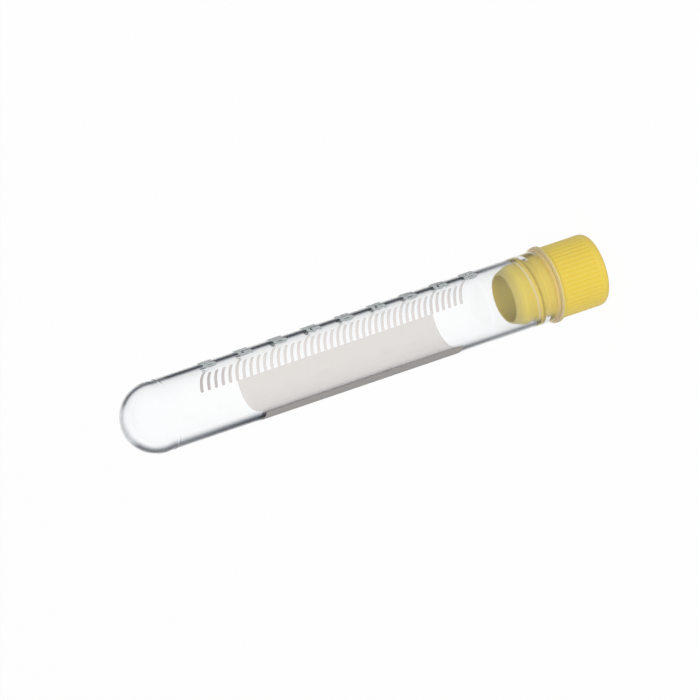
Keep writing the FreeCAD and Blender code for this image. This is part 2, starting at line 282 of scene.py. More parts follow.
class Wire:
    """An output socket that Python's arithmetic works on. Each step adds a Math node."""

    def __init__(self, shader, socket):
        self.shader = shader
        self.socket = socket

    def step(self, operation, *values):
        """Adds one Math node."""
        return self.shader.node("Math", {"operation": operation}, dict(enumerate(values)))

    def __add__(self, other):
        return self.step("ADD", self, other)

    def __mul__(self, other):
        return self.step("MULTIPLY", self, other)

    def __sub__(self, other):
        return self.step("SUBTRACT", self, other)

    def __rsub__(self, other):
        return self.step("SUBTRACT", other, self)

    def __pow__(self, other):
        return self.step("POWER", self, other)

    def most(self, *others):
        """The greatest of this and the others."""
        greatest = self
        for other in others:
            greatest = self.step("MAXIMUM", greatest, other)
        return greatest

    __radd__ = __add__
    __rmul__ = __mul__


class Shader:
    """The nodes of one material or world."""

    def __init__(self, owner, output="OutputMaterial"):
        owner.use_nodes = True
        self.tree = owner.node_tree
        self.tree.nodes.clear()
        self.output = self.tree.nodes.new("ShaderNode" + output)

    def node(self, kind, settings=None, values=None, output=0):
        """Adds a node: its settings first, then the values or links of its sockets."""
        made = self.tree.nodes.new("ShaderNode" + kind)
        for name, setting in (settings or {}).items():
            setattr(made, name, setting)
        for name, value in (values or {}).items():
            if isinstance(value, Wire):
                self.tree.links.new(value.socket, made.inputs[name])
            else:
                made.inputs[name].default_value = value
        return Wire(self, made.outputs[output])

    def ramp(self, value, stops):
        """A colour for each value from 0 to 1, by stops that are each a place and a colour."""
        made = self.node("ValToRGB", values={"Fac": value})
        elements = made.socket.node.color_ramp.elements
        while len(elements) < len(stops):
            elements.new(1.0)
        for element, (place, tint) in zip(elements, stops):
            element.position = place
            element.color = (*tint, 1.0)
        return made

    def rise(self, value, start, end, amount=1.0, curve="LINEAR"):
        """0 where the value is at its start, and this amount where it is at its end."""
        sockets = {"From Min": start, "From Max": end, "To Min": 0.0, "To Max": amount, "Value": value}
        return self.node("MapRange", {"interpolation_type": curve}, sockets)

    def blend(self, mask, first, second):
        """A colour between two, by a mask from 0 to 1. The node's colour sockets share their names
        with others, so they go by number."""
        sockets = {0: mask, 6: opaque(first), 7: opaque(second)}
        return self.node("Mix", {"data_type": "RGBA"}, sockets, output=2)

    def cover(self, amount, below, above):
        """One surface over another, by how much of it shows."""
        return self.node("MixShader", values={0: amount, 1: below, 2: above})

    def noise(self, scale, detail=2.0):
        """Soft noise fixed to the piece, with this many cells to the metre."""
        place = self.node("TexCoord", output="Object")
        return self.node("TexNoise", values={"Vector": place, "Scale": scale, "Detail": detail})

    def part(self, coordinate, axis):
        """One part of a texture coordinate."""
        place = self.node("TexCoord", output=coordinate)
        return self.node("SeparateXYZ", values={"Vector": place}, output=axis)

    def mark(self, name):
        """What the mesh's vertices are marked with under this name."""
        return self.node("Attribute", {"attribute_name": name}, output="Fac")

    def facing(self):
        """0 where a surface is seen square on and 1 where it is seen edge on, from either side."""
        return self.node("LayerWeight", values={"Blend": 0.5}, output="Facing")

    def rays(self, *kinds):
        """1 for these kinds of ray and 0 for the others."""
        outputs = self.node("LightPath").socket.node.outputs
        seen = [Wire(self, outputs[f"Is {kind} Ray"]) for kind in kinds]
        return seen[0].most(*seen[1:])

    def surface(self, wire):
        """Ends the nodes in a surface."""
        self.tree.links.new(wire.socket, self.output.inputs["Surface"])


def opaque(tint):
    """A colour with its alpha, or the link that stands for one."""
    return tint if isinstance(tint, Wire) else (*tint, 1.0)


def new_material(name):
    """An empty material and its shader."""
    material = bpy.data.materials.new(name)
    return material, Shader(material)


def cap_plastic(colours):
    """Satin moulded yellow, with painted shade: fuller and darker in the hollows between the ribs,
    and duller on the plug; and a painted highlight, paler along the plug's thread."""
    material, shader = new_material("cap_plastic")
    mottle = shader.noise(350.0)
    # The crest mark paints shade into the hollows between the ribs.
    ribbed = shader.blend(shader.mark("crest"), colours.cap_hollow_shade, colours.cap)
    mottled = shader.blend(mottle * 0.10, ribbed, (0.93, 0.80, 0.34))
    shaded = shader.blend(shader.mark("shade"), mottled, colours.plug)
    grain = shader.noise(9000.0, detail=3.0)
    bump = shader.node("Bump", values={"Strength": 0.12, "Distance": 0.02 * MM, "Height": grain})
    shader.surface(shader.node("BsdfPrincipled", values={
        # The glint mark paints a highlight along the plug's thread.
        "Base Color": shader.blend(shader.mark("glint"), shaded, colours.glint),
        "Roughness": 0.34 + mottle * 0.12,
        "Normal": bump,
        "Subsurface Weight": 0.12,
        "Subsurface Radius": (1.0, 0.6, 0.2),
        "Subsurface Scale": 0.6 * MM,
    }))
    return material


def seal_rubber(colours):
    """Milky, slightly see-through rubber, thinner and, by a painted sheen, paler where seen edge on."""
    material, shader = new_material("seal_rubber")
    cloud = shader.noise(900.0)
    facing = shader.facing()
    square_on = shader.blend(cloud * 0.25, colours.seal, (0.90, 0.78, 0.56))
    # Painted sheen: the rubber's colour is paler where it is seen edge on.
    tone = shader.blend(facing ** 2, square_on, (1.0, 0.98, 0.93))
    rubber = shader.node("BsdfPrincipled", values={
        "Base Color": tone,
        "Roughness": 0.32 + cloud * 0.1,
        "Subsurface Weight": 0.4,
        "Subsurface Radius": (1.0, 0.8, 0.5),
        "Subsurface Scale": 0.8 * MM,
    })
    clear = shader.node("BsdfTransparent", values={"Color": (1.0, 0.97, 0.9, 1.0)})
    shader.surface(shader.cover(0.86 - facing ** 2 * 0.5, clear, rubber))
    return material


def clear_wall(shader, tint, mirrored_tint, roughness, gloss):
    """Clear plastic with this tint where light goes in: it bends what is behind it and mirrors more
    towards its outline. Light on other things goes straight through."""
    bent = shader.node("BsdfRefraction", values={"Color": tint, "IOR": PLASTIC_IOR, "Roughness": 0.0})
    mirror = shader.node("BsdfGlossy", values={"Color": mirrored_tint, "Roughness": roughness})
    fresnel = shader.node("Fresnel", values={"IOR": PLASTIC_IOR})
    wall = shader.cover(fresnel * (gloss + (1 - gloss) * fresnel), bent, mirror)
    straight = shader.node("BsdfTransparent", values={"Color": (0.97, 0.975, 0.98, 1.0)})
    return shader.cover(shader.rays("Shadow", "Diffuse"), wall, straight)


def outline_lines(shader, dark):
    """The painted dark line at the tube's outline, narrow and wide, by how edge on the wall is seen."""
    facing = shader.facing()
    narrow = shader.ramp(facing, (
        (0.09, CLEAR),
        (0.32, (0.93, 0.935, 0.94)),
        (0.43, (0.84, 0.845, 0.85)),
        (0.49, (0.72, 0.73, 0.745)),
        (0.55, (0.30, 0.315, 0.34)),
        (0.595, dark),
        (0.655, dark),
        (0.71, (0.23, 0.235, 0.25)),
        (0.79, (0.70, 0.705, 0.71)),
        (0.86, CLEAR),
    ))
    wide = shader.ramp(facing, (
        (0.09, CLEAR),
        (0.36, (0.975, 0.98, 0.985)),
        (0.43, (0.75, 0.76, 0.775)),
        (0.48, (0.46, 0.48, 0.51)),
        (0.54, (0.19, 0.215, 0.24)),
        (0.60, dark),
        (0.66, dark),
        (0.72, (0.20, 0.21, 0.22)),
        (0.82, (0.55, 0.56, 0.57)),
        (0.90, CLEAR),
    ))
    return narrow, wide


def tube_outside(colours):
    """The outside of the tube, with painted shade in a line along its outline, where the wall is
    seen nearly edge on. The line is narrower on one side, a painted difference in light between the
    two sides, and paler at the rim, at the tip and where the plug's thread presses."""
    material, shader = new_material("tube_outside")
    narrow, wide = outline_lines(shader, tuple(colours.edge))
    along = shader.part("Object", "Z")
    # Painted light: by the normal's X, one side of the tube gets the narrow line and the other the wide
    # one.
    side = shader.rise(shader.part("Normal", "X"), -0.3, 0.3, curve="SMOOTHSTEP")
    towards_tip = shader.rise(shader.part("Normal", "Z"), 0.72, 0.93, curve="SMOOTHSTEP")
    narrowed = shader.rise(along, RIM + 34 * MM, RIM + 14 * MM, 0.8)
    line = shader.blend(side.most(narrowed), wide, narrow)

    narrow_at_rim = shader.rise(along, RIM + 16 * MM, RIM, 0.42)
    narrow_at_tip = shader.rise(along, TIP_PART, TIP_PART + 0.5 * MM, 0.12)
    wide_at_rim = shader.rise(along, RIM + 34 * MM, RIM + 12 * MM, 0.24)
    wide_at_tip = shader.rise(along, TIP_PART - 14 * MM, TIP_PART, 0.16)
    at_flange = shader.rise(along, RIM + 2.4 * MM, RIM + 0.6 * MM, 0.9)
    paler = side * (narrow_at_rim + narrow_at_tip) + (1 - side) * (wide_at_rim + wide_at_tip)
    paler = paler.most(towards_tip * 0.62, at_flange, shader.mark("contact") * 0.85)

    # tint carries the painted dark line into what the wall lets through and mirrors.
    tint = shader.blend(paler, line, (0.95, 0.97, 0.99))
    mirrored = shader.blend(0.25, tint, WHITE)
    haze = shader.noise(500.0)
    shader.surface(clear_wall(shader, tint, mirrored, 0.03 + haze * 0.04, 0.85))
    return material


def tube_inside():
    """The bore of the clear tube."""
    material, shader = new_material("tube_inside")
    haze = shader.noise(500.0)
    shader.surface(clear_wall(shader, opaque(CLEAR), opaque(WHITE), 0.05 + haze * 0.05, 0.35))
    return material


def wetted(name, colours, milk):
    """Clear plastic pressed against the cap, so that what is behind it shows unbent, with this share
    of milk in it."""
    material, shader = new_material(name)
    haze = shader.noise(700.0)
    clear = shader.node("BsdfTransparent", values={"Color": opaque(CLEAR)})
    gloss = shader.node("BsdfGlossy", values={"Color": opaque(WHITE), "Roughness": 0.12 + haze * 0.06})
    facing = shader.facing()
    wall = shader.cover(0.02 + 0.3 * facing ** 4, clear, gloss)
    # Painted sheen: the milk's colour grows paler where the plastic is seen edge on.
    tone = shader.blend(facing ** 2, colours.rim, colours.rim_edge_sheen)
    body = shader.node("BsdfPrincipled", values={"Base Color": tone, "Roughness": 0.3})
    shader.surface(shader.cover(milk * (1 - 0.7 * facing ** 2) + haze * 0.08, wall, body))
    return material


def ink_film(name, tint, cover, cover_along=None):
    """Thin ink that lets light through, less where it is seen edge on, with a screen-printed grain.
    cover_along holds places from the field's end at the cap (0) to the tip (1), each with a share of
    the ink's cover there."""
    material, shader = new_material(name)
    facing = shader.facing()
    grain = shader.noise(6000.0, detail=4.0)
    body = shader.node("BsdfPrincipled", values={
        "Base Color": shader.blend(grain, scaled(tint, 0.9), scaled(tint, 1.08)),
        "Roughness": 0.55 + grain * 0.2,
    })
    if cover_along:
        # The ink hides more or less along the tube, by the listed shares.
        place = shader.rise(shader.part("Object", "Z"), FIELD_LOW.z, TIP)
        along_share = shader.ramp(place, [(at, (amount,) * 3) for at, amount in cover_along])
        cover = along_share * cover
    edge_on = shader.rise(facing, 0.42, 0.56, curve="SMOOTHSTEP")
    hides = cover + (grain - 0.5) * 0.06 + (1 - cover) * (facing ** 2 * 0.25 + edge_on * 0.75)
    clear = shader.node("BsdfTransparent", values={"Color": (1.0, 0.975, 0.955, 1.0)})
    shader.surface(shader.cover(hides, clear, body))
    return material


def scaled(tint, amount):
    """A colour made lighter or darker."""
    return tuple(amount * part for part in tint)


# -------- meshes


def rounded(corners):
    """A smooth outline from corners, each a radius, a height, a rounding and the parts that the
    side after it is cut into."""
    places = [Vector(corner[:2]) for corner in corners]
    bends = []
    for index, here in enumerate(places):
        rounding = corners[index][2]
        if rounding:
            before, after = places[index - 1], places[(index + 1) % len(places)]
            bends.append(corner_points(before, here, after, rounding))
        else:
            bends.append([here])
    points = []
    for index, bend in enumerate(bends):
        points += bend
        parts = corners[index][3]
        end = bends[(index + 1) % len(bends)][0]
        points += [bend[-1].lerp(end, part / parts) for part in range(1, parts)]
    return points


def corner_points(before, here, after, rounding):
    """A rounded corner, with a point just before and after it that keeps the flats flat."""
    into = (here - before).normalized()
    out = (after - here).normalized()
    half_turn = into.angle(out) / 2
    reach = rounding * math.tan(half_turn)
    start = here - into * reach
    end = here + out * reach
    points = [start - into * rounding * 0.3]
    for step in range(CORNER_STEPS + 1):
        way = step / CORNER_STEPS
        near = start.lerp(here, way)
        far = here.lerp(end, way)
        points.append(near.lerp(far, way))
    points.append(end + out * rounding * 0.3)
    return points


def arc(centre_height, radius, start, end, steps):
    """Corners along a round bottom, by angle from the axis's far end."""
    angles = [start + (end - start) * step / steps for step in range(steps + 1)]
    return [
        (radius * math.sin(angle), centre_height + radius * math.cos(angle), 0.0, 1)
        for angle in angles
    ]


def turned(name, outline, columns, relief=None):
    """A mesh made by turning an outline once round the axis. relief gives the radius at each angle,
    for pieces that aren't quite round. An outline point on the axis is one vertex."""
    angles = np.linspace(0.0, FULL_TURN, columns, endpoint=False)
    rows = []
    vertices = []
    for radius, height in outline:
        if radius < ON_AXIS:
            rows.append([len(vertices)] * columns)
            vertices.append((0.0, 0.0, height))
            continue
        radii = relief(angles, radius, height) if relief else np.full(columns, radius)
        rows.append(range(len(vertices), len(vertices) + columns))
        vertices += zip(radii * np.cos(angles), radii * np.sin(angles), np.full(columns, height))
    closing = [] if outline[0][0] < ON_AXIS else rows[:1]
    faces = []
    for low, high in zip(rows, rows[1:] + closing):
        for column in range(columns):
            beside = (column + 1) % columns
            corners = (low[column], low[beside], high[beside], high[column])
            faces.append(tuple(dict.fromkeys(corners)))
    return finished_mesh(name, vertices, faces)


def finished_mesh(name, vertices, faces):
    """A smooth mesh whose faces all look outwards."""
    mesh = bpy.data.meshes.new(name)
    mesh.from_pydata([tuple(map(float, vertex)) for vertex in vertices], [], faces)
    work = bmesh.new()
    work.from_mesh(mesh)
    bmesh.ops.recalc_face_normals(work, faces=work.faces)
    work.to_mesh(mesh)
    work.free()
    mesh.shade_smooth()
    return mesh


def new_piece(name, mesh, materials, body, node):
    """Puts a mesh in the scene, on its body, in place of its CAD node."""
    for material in materials:
        mesh.materials.append(material)
    piece = bpy.data.objects.new(name, mesh)
    bpy.context.scene.collection.objects.link(piece)
    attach(piece, body)
    if node:
        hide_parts(node)
    return piece


def smooth_step(low, high, value):
    """0 below low and 1 above high, with a smooth rise between."""
    way = np.clip((value - low) / (high - low), 0.0, 1.0)
    return way * way * (3 - 2 * way)


def thread_radius(angles, height, start, turns, crest, half_crest, slope):
    """How far out a thread reaches at each angle, at this height: less than nothing off it."""
    reach = np.full(len(angles), -1.0)
    begun = (angles - math.pi / 2) / FULL_TURN
    for lap in range(-3, 4):
        travel = begun + lap
        beyond = height - start - THREAD_PITCH * travel
        flank = crest - np.maximum(np.abs(beyond) - half_crest, 0.0) * slope
        ends = smooth_step(*THREAD_END, travel) * smooth_step(*THREAD_END, turns - travel)
        ridge = np.where(ends > 0, flank - (1 - ends) * crest * END_DROP, -1.0)
        reach = np.maximum(reach, ridge)
    return reach


def plug_radius(tube):
    """Radius of the plug's shoulder."""
    return TUBE_RADIUS - tube.mouth_wall - tube.plug_gap


# -------- the pieces


class CRYOVIAL_OT_cap(bpy.types.Operator):
    """Adds the ribbed screw cap with its threaded plug"""

    bl_idname = "cryovial.cap"
    bl_label = "Cap"

    def execute(self, context):
        scene = context.scene
        cap, tube, thread = scene.cryovial_cap, scene.cryovial_tube, scene.cryovial_thread
        shoulder = plug_radius(tube)
        mesh = turned("cap_moulding", cap_outline(cap, shoulder), cap.rib_count * RIB_COLUMNS,
                      cap_relief(cap, thread, shoulder))
        mark_crests(mesh, cap)
        mark_shade(mesh, cap, shoulder, thread)
        plastic = cap_plastic(scene.cryovial_colours)
        new_piece("cap_moulding", mesh, [plastic], "cap", "cap")
        return {"FINISHED"}


def cap_outline(cap, shoulder):
    """The cap's section, from the middle of its flat end to the middle of the plug's hollow."""
    waist = shoulder - cap.waist_depth
    shoulder_top = SEAT + cap.shoulder_length
    waist_low = shoulder_top + cap.shoulder_cone
    lip_low = PLUG_END - cap.lip_length
    recess = shoulder - cap.lip_wall
    flute_end = cap.head_length - cap.flute_gap
    ramp = cap.flute_ramp
    return rounded([
        (0.0, 0.0, 0.0, 3),
        (cap.head_radius, 0.0, cap.head_edge, 1),
        (cap.head_radius, cap.flute_start, 0.0, 5),
        (cap.head_radius, cap.flute_start + ramp, 0.0, 4),
        (cap.head_radius, flute_end - ramp, 0.0, 5),
        (cap.head_radius, flute_end, 0.0, 1),
        (cap.head_radius, cap.head_length, 0.08 * MM, 1),
        (FLANGE_RADIUS, SEAT - cap.collar_land, 0.12 * MM, 1),
        (FLANGE_RADIUS, SEAT, 0.05 * MM, 1),
        (shoulder, SEAT, 0.05 * MM, 1),
        (shoulder, shoulder_top, 0.15 * MM, 24),
        (waist, waist_low, 0.0, 22),
        (waist, lip_low, 0.3 * MM, 40),
        (shoulder, lip_low + cap.lip_cone, 0.5 * MM, 6),
        (shoulder - cap.lip_taper, PLUG_END, 0.2 * MM, 1),
        (recess, PLUG_END, 0.08 * MM, 6),
        (recess, PLUG_END - cap.recess_depth, 0.3 * MM, 4),
        (0.0, PLUG_END - cap.recess_depth, 0.0, 1),
    ])


def cap_relief(cap, thread, shoulder):
    """The ribs of the head and the thread of the plug."""
    waist = shoulder - cap.waist_depth
    crest = shoulder + thread.rise
    half_crest = thread.crest_width / 2
    slope = (crest - waist + thread.foot) / ((thread.root_width - thread.crest_width) / 2)
    thread_start = SEAT + thread.start
    recess_edge = shoulder - cap.lip_wall + 0.3 * MM
    lip = PLUG_END - cap.lip_length + cap.lip_cone
    flute_end = cap.head_length - cap.flute_gap

    def relief(angles, radius, height):
        if height < cap.head_length:
            ends = smooth_step(0.0, cap.flute_ramp, height - cap.flute_start)
            ends *= smooth_step(0.0, cap.flute_ramp, flute_end - height)
            return radius - flute(angles, cap) * ends
        if SEAT < height < lip and radius > recess_edge:
            ridge = thread_radius(angles, height, thread_start, thread.turns, crest, half_crest, slope)
            return np.maximum(radius, ridge)
        return np.full(len(angles), radius)

    return relief


def flute(angles, cap):
    """Depth of the hollows between the ribs at each angle."""
    spacing = FULL_TURN / cap.rib_count
    off = (np.mod(angles / spacing + 0.5, 1.0) - 0.5) * spacing * cap.head_radius
    return cap.flute_depth * np.clip(1 - (off / cap.flute_radius) ** 2, 0.0, 1.0)


def mark_crests(mesh, cap):
    """Marks each vertex: 1 on the ribs and plain faces, 0 in the hollows between the ribs."""
    crest = mesh.attributes.new("crest", "FLOAT", "POINT")
    for vertex, mark in zip(mesh.vertices, crest.data):
        mark.value = 1.0
        if cap.flute_start < vertex.co.z < cap.head_length:
            depth = cap.head_radius - math.hypot(vertex.co.x, vertex.co.y)
            mark.value = min(max(1 - depth / cap.flute_depth, 0.0), 1.0)


def mark_shade(mesh, cap, shoulder, thread):
    """Marks each vertex: shade is 0 on the head, low along the plug and high at its end and in its
    hollow, and glint is 1 along the far side of the thread."""
    shade = mesh.attributes.new("shade", "FLOAT", "POINT")
    glint = mesh.attributes.new("glint", "FLOAT", "POINT")
    recess = shoulder - cap.lip_wall + 0.12 * MM
    for vertex, mark, line in zip(mesh.vertices, shade.data, glint.data):
        radius = math.hypot(vertex.co.x, vertex.co.y)
        below = PLUG_END - vertex.co.z
        if vertex.co.z <= SEAT:
            mark.value = 0.0
        elif radius < recess:
            mark.value = float(0.70 + 0.15 * smooth_step(0.3 * MM, 1.4 * MM, below))
        else:
            mark.value = float(0.10 + 0.65 * smooth_step(2.0 * MM, 0.1 * MM, below))
            past = past_thread(vertex.co, thread)
            if past is not None:
                # A painted highlight along the thread's flank.
                line.value = max(1 - ((past - GLINT_MIDDLE) / GLINT_HALF_WIDTH) ** 2, 0.0)


class CRYOVIAL_OT_seal_ring(bpy.types.Operator):
    """Adds the soft ring between the cap's collar and the tube's rim"""

    bl_idname = "cryovial.seal_ring"
    bl_label = "Seal ring"

    def execute(self, context):
        scene = context.scene
        inside = TUBE_RADIUS - scene.cryovial_tube.mouth_wall
        outline = rounded([
            (inside, SEAT, 0.06 * MM, 1),
            (FLANGE_RADIUS, SEAT, 0.06 * MM, 1),
            (FLANGE_RADIUS, RIM, 0.06 * MM, 1),
            (inside, RIM, 0.06 * MM, 1),
        ])
        mesh = turned("seal", outline, SEAL_COLUMNS)
        rubber = seal_rubber(scene.cryovial_colours)
        new_piece("seal", mesh, [rubber], "seal", "seal_ring")
        return {"FINISHED"}


class CRYOVIAL_OT_tube(bpy.types.Operator):
    """Adds the clear tube, with its thread groove and parting ridge"""

    bl_idname = "cryovial.tube"
    bl_label = "Tube"

    def execute(self, context):
        scene = context.scene
        tube, colours = scene.cryovial_tube, scene.cryovial_colours
        inside, outside = tube_outline(tube)
        mesh = turned("clear_tube", inside + outside, TUBE_COLUMNS, mouth_relief(scene))
        bore_faces = TUBE_COLUMNS * (len(inside) - 1)
        groove = groove_faces(mesh, TUBE_RADIUS - tube.mouth_wall + 0.002 * MM, bore_faces)
        rim_end = RIM + tube.flange_thickness + 0.5 * MM
        for index, face in enumerate(mesh.polygons):
            if face.center.z < rim_end:
                face.material_index = RIM_FACE
            elif index < bore_faces:
                face.material_index = GROOVE if index in groove else BORE
        mark_contact(mesh, scene.cryovial_thread)
        materials = [
            tube_outside(colours),
            tube_inside(),
            wetted("tube_rim", colours, colours.rim_milk),
            wetted("tube_groove", colours, colours.groove_milk),
        ]
        new_piece("clear_tube", mesh, materials, "tube", "tube")
        return {"FINISHED"}


def groove_faces(mesh, wall, bore_faces):
    """The faces of the bore at the thread groove, which is cut past this radius, and one ring of
    faces round them."""
    bore = mesh.polygons[:bore_faces]
    cut = {
        vertex.index
        for vertex in mesh.vertices
        if vertex.co.z < THREAD_PART and math.hypot(vertex.co.x, vertex.co.y) > wall
    }
    touched = [face for face in bore if not cut.isdisjoint(face.vertices)]
    corners = {corner for face in touched for corner in face.vertices}
    return {face.index for face in bore if not corners.isdisjoint(face.vertices)}


def past_thread(place, thread):
    """How far a place lies past the middle of the plug's thread, along the axis and away from the
    seat. None where the thread doesn't pass."""
    travel = (math.atan2(place.y, place.x) - math.pi / 2) / FULL_TURN % 1.0
    if travel > thread.turns:
        return None
    return place.z - SEAT - thread.start - THREAD_PITCH * travel


def mark_contact(mesh, thread):
    """Marks the vertices where the plug's thread presses on the tube and shows at its outline."""
    contact = mesh.attributes.new("contact", "FLOAT", "POINT")
    for vertex, mark in zip(mesh.vertices, contact.data):
        past = past_thread(vertex.co, thread)
        if past is not None and vertex.co.z < THREAD_PART:
            mark.value = float(smooth_step(*CONTACT_START, past) * smooth_step(*CONTACT_END, past))


def tube_outline(tube):
    """The tube's section: its bore from the bottom to the rim, and its outside back to the tip."""
    mouth = TUBE_RADIUS - tube.mouth_wall
    mouth_end = RIM + tube.mouth_depth
    groove_end = mouth_end - 5.6 * MM
    upper_bore = TUBE_RADIUS - tube.barrel_wall
    lower_bore = TUBE_RADIUS - tube.bottom_wall
    ridge = BOTTOM_CENTRE - tube.ridge_offset
    flange_end = RIM + tube.flange_thickness
    inside = rounded([
        *arc(BOTTOM_CENTRE, lower_bore, 0.0, math.pi / 2, 32),
        (upper_bore, mouth_end + tube.step_length, 0.3 * MM, 1),
        (mouth, mouth_end, 0.3 * MM, 1),
        (mouth, groove_end, 0.0, 96),
        (mouth, RIM + tube.mouth_bevel, 0.05 * MM, 3),
        (mouth + tube.mouth_bevel, RIM, 0.0, 1),
        (FLANGE_RADIUS, RIM, 0.0, 1),
    ])[:-1]
    outside = rounded([
        (mouth + tube.mouth_bevel + 0.1 * MM, RIM, 0.0, 1),
        (FLANGE_RADIUS, RIM, 0.07 * MM, 1),
        (FLANGE_RADIUS, flange_end, 0.1 * MM, 1),
        (TUBE_RADIUS, flange_end, 0.12 * MM, 40),
        (TUBE_RADIUS, FINE_OUTSIDE, 0.0, 3),
        (TUBE_RADIUS, ridge - tube.ridge_width, 0.0, 2),
        (TUBE_RADIUS, ridge - tube.ridge_width / 2, 0.1 * MM, 1),
        (TUBE_RADIUS + tube.ridge_height, ridge, 0.15 * MM, 1),
        (TUBE_RADIUS, ridge + tube.ridge_width / 2, 0.1 * MM, 1),
        (TUBE_RADIUS, BOTTOM_CENTRE - 0.5 * MM, 0.0, 1),
        *arc(BOTTOM_CENTRE, TUBE_RADIUS, math.pi / 2, 0.0, 40),
    ])
    return inside, outside


def mouth_relief(scene):
    """The groove in the mouth that the plug's thread runs in, open at the rim."""
    tube, thread = scene.cryovial_tube, scene.cryovial_thread
    mouth = TUBE_RADIUS - tube.mouth_wall
    crest = plug_radius(tube) + thread.rise + thread.clearance
    half_crest = thread.crest_width / 2 + thread.clearance
    slope = (crest - mouth) / thread.groove_side
    lead = 2  # whole turns before the plug's thread, which bring the groove out at the rim
    groove_start = SEAT + thread.start - lead * THREAD_PITCH
    turns = lead + thread.turns + thread.runout
    deepest = RIM + tube.mouth_depth

    def relief(angles, radius, height):
        if height < deepest and mouth - HAIR < radius < crest:
            groove = thread_radius(angles, height, groove_start, turns, crest, half_crest, slope)
            return np.maximum(radius, groove)
        return np.full(len(angles), radius)

    return relief


# -------- the print


def line_height(volume_share, scene):
    """Where the liquid stands, tip down, at this share of the full volume."""
    tube = scene.cryovial_tube
    upper_bore = TUBE_RADIUS - tube.barrel_wall
    lower_bore = TUBE_RADIUS - tube.bottom_wall
    taper = BOTTOM_CENTRE - RIM - tube.mouth_depth - tube.step_length
    slope = (upper_bore - lower_bore) / taper
    full = lower_bore + slope * (BOTTOM_CENTRE - RIM - scene.cryovial_print.full_depth)
    empty_cube = lower_bore ** 3 * (1 - 2 * slope)
    radius = (empty_cube + volume_share * (full ** 3 - empty_cube)) ** (1 / 3)
    return BOTTOM_CENTRE - (radius - lower_bore) / slope


def film_mesh(name, bands, thickness):
    """A mesh of thin ink on the tube. A band is a list of (angle, low, high)."""
    vertices = []
    faces = []
    for band in bands:
        base = len(vertices)
        for angle, low, high in band:
            for reach in (PRINT_RADIUS, PRINT_RADIUS + thickness):
                for height in (low, high):
                    vertices.append((reach * math.cos(angle), reach * math.sin(angle), height))
        faces.append((base, base + 1, base + 3, base + 2))
        for station in range(len(band) - 1):
            here = base + 4 * station
            there = here + 4
            for first, second in ((0, 1), (1, 3), (3, 2), (2, 0)):
                faces.append((here + first, here + second, there + second, there + first))
        last = base + 4 * (len(band) - 1)
        faces.append((last, last + 2, last + 3, last + 1))
    mesh = finished_mesh(name, vertices, faces)
    mesh.set_sharp_from_angle(angle=SHARP_ANGLE)
    return mesh


def band_stations(start, sweep, low, high, start_round, end_round):
    """A band's stations round the tube, with its ends rounded by these lengths."""
    angles = list(np.linspace(start, start + sweep, max(2, round(sweep / PRINT_STEP) + 1)))
    for rounding, end, way in ((start_round, start, 1), (end_round, start + sweep, -1)):
        if rounding:
            for part in range(1, END_STEPS + 1):
                bend = 1 - math.cos(part * math.pi / (2 * END_STEPS))
                angles.append(end + way * rounding / PRINT_RADIUS * bend)
    widest_cut = (high - low) / 2 * 0.96
    stations = []
    for angle in sorted(angles):
        cut = 0.0
        for rounding, gap in ((start_round, angle - start), (end_round, start + sweep - angle)):
            if rounding and gap * PRINT_RADIUS < rounding:
                inset = 1 - gap * PRINT_RADIUS / rounding
                cut = max(cut, rounding * (1 - math.sqrt(max(1 - inset * inset, 0.0))))
        cut = min(cut, widest_cut)
        stations.append((angle, low + cut, high - cut))
    return stations


class CRYOVIAL_OT_writing_field(bpy.types.Operator):
    """Adds the plain field for a written label"""

    bl_idname = "cryovial.writing_field"
    bl_label = "Writing field"

    def execute(self, context):
        scene = context.scene
        sizes, colours = scene.cryovial_print, scene.cryovial_colours
        band = band_stations(sizes.field_edge, sizes.field_sweep, FIELD_LOW.z, FIELD_HIGH.z,
                             0.0, sizes.corner)
        mesh = film_mesh("field_print", [band], sizes.film)
        ink = ink_film("field_ink", tuple(colours.field), colours.field_cover)
        new_piece("field_print", mesh, [ink], "tube", "writing_field")
        return {"FINISHED"}


class CRYOVIAL_OT_scale_lines(bpy.types.Operator):
    """Adds the lines of the volume scale, one for each tenth of a millilitre"""

    bl_idname = "cryovial.scale_lines"
    bl_label = "Scale lines"

    def execute(self, context):
        scene = context.scene
        sizes, colours = scene.cryovial_print, scene.cryovial_colours
        half = sizes.line_width / 2
        bands = []
        for tenths in range(FIRST_LINE, LAST_LINE + 1):
            sweep = sizes.short_sweep if tenths % LONG_LINE_STEP else sizes.long_sweep
            middle = line_height(tenths / LAST_LINE, scene)
            meets_field = FIELD_LINES[0] <= tenths <= FIELD_LINES[1]
            bands.append(band_stations(sizes.field_edge - sweep, sweep, middle - half, middle + half,
                                       half, 0.0 if meets_field else half))
        mesh = film_mesh("scale_lines", bands, sizes.film)
        ink = ink_film("line_ink", tuple(colours.line), colours.line_cover, LINE_COVER_ALONG)
        new_piece("scale_lines", mesh, [ink], "tube", "volume_scale")
        return {"FINISHED"}


class CRYOVIAL_OT_scale_numbers(bpy.types.Operator):
    """Adds the numbers at the long lines"""

    bl_idname = "cryovial.scale_numbers"
    bl_label = "Scale numbers"

    def execute(self, context):
        scene = context.scene
        sizes, colours = scene.cryovial_print, scene.cryovial_colours
        work = bmesh.new()
        for tenths in range(FIRST_LINE, LAST_LINE + 1, LONG_LINE_STEP):
            height = line_height(tenths / LAST_LINE, scene) + NUMBER_SHIFT
            add_number(work, f"{tenths / 10:.1f}", height, sizes)
        mesh = bpy.data.meshes.new("scale_numbers")
        work.to_mesh(mesh)
        work.free()
        ink = ink_film("number_ink", tuple(colours.number), colours.number_cover)
        new_piece("scale_numbers", mesh, [ink], "tube", None)
        return {"FINISHED"}


